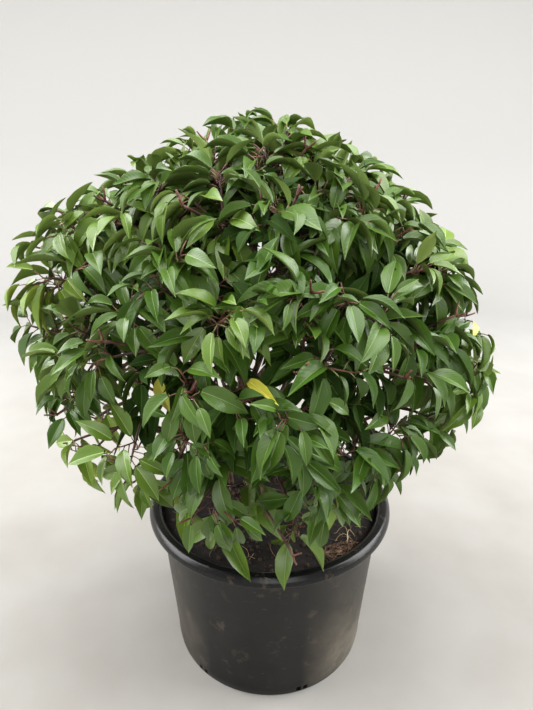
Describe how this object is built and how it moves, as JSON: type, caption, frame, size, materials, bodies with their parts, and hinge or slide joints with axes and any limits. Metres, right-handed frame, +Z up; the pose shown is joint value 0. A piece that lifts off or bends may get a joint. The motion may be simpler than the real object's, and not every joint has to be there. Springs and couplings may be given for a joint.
{
  "type": "potted portugal laurel",
  "caption": "Evergreen shrub clipped to a ball, on a short branching trunk in a round black nursery pot filled with soil.",
  "frame": {"origin": "middle of the pot's flat underside, on the pot's axis", "axes": "+Z up along the pot's axis, -Y towards the front that the picture shows, +X to that view's right"},
  "size_m": [0.581, 0.5788, 0.7836],
  "materials": {
    "pot": "satin black moulded plastic, dusty",
    "soil": "dark crumbly potting soil",
    "bark": "grey-brown bark",
    "foliage": "glossy dark green leaves"
  },
  "bodies": {
    "root": {"pot": "pot", "soil": "soil", "trunk": "bark", "bough_top": "bark", "foliage_top": "foliage", "bough_upper_1": "bark", "foliage_upper_1": "foliage", "bough_upper_2": "bark", "foliage_upper_2": "foliage", "bough_upper_3": "bark", "foliage_upper_3": "foliage", "bough_upper_4": "bark", "foliage_upper_4": "foliage", "bough_upper_5": "bark", "foliage_upper_5": "foliage", "bough_middle_1": "bark", "foliage_middle_1": "foliage", "bough_middle_2": "bark", "foliage_middle_2": "foliage", "bough_middle_3": "bark", "foliage_middle_3": "foliage", "bough_middle_4": "bark", "foliage_middle_4": "foliage", "bough_middle_5": "bark", "foliage_middle_5": "foliage", "bough_middle_6": "bark", "foliage_middle_6": "foliage", "bough_middle_7": "bark", "foliage_middle_7": "foliage", "bough_middle_8": "bark", "foliage_middle_8": "foliage", "bough_lower_1": "bark", "foliage_lower_1": "foliage", "bough_lower_2": "bark", "foliage_lower_2": "foliage", "bough_lower_3": "bark", "foliage_lower_3": "foliage", "bough_lower_4": "bark", "foliage_lower_4": "foliage", "bough_lower_5": "bark", "foliage_lower_5": "foliage", "bough_lower_6": "bark", "foliage_lower_6": "foliage", "bough_lower_7": "bark", "foliage_lower_7": "foliage", "shoot_skirt_1": "bark", "foliage_skirt_1": "foliage", "shoot_skirt_2": "bark", "foliage_skirt_2": "foliage", "shoot_skirt_3": "bark", "foliage_skirt_3": "foliage", "shoot_skirt_4": "bark", "foliage_skirt_4": "foliage"}
  },
  "joints": []
}
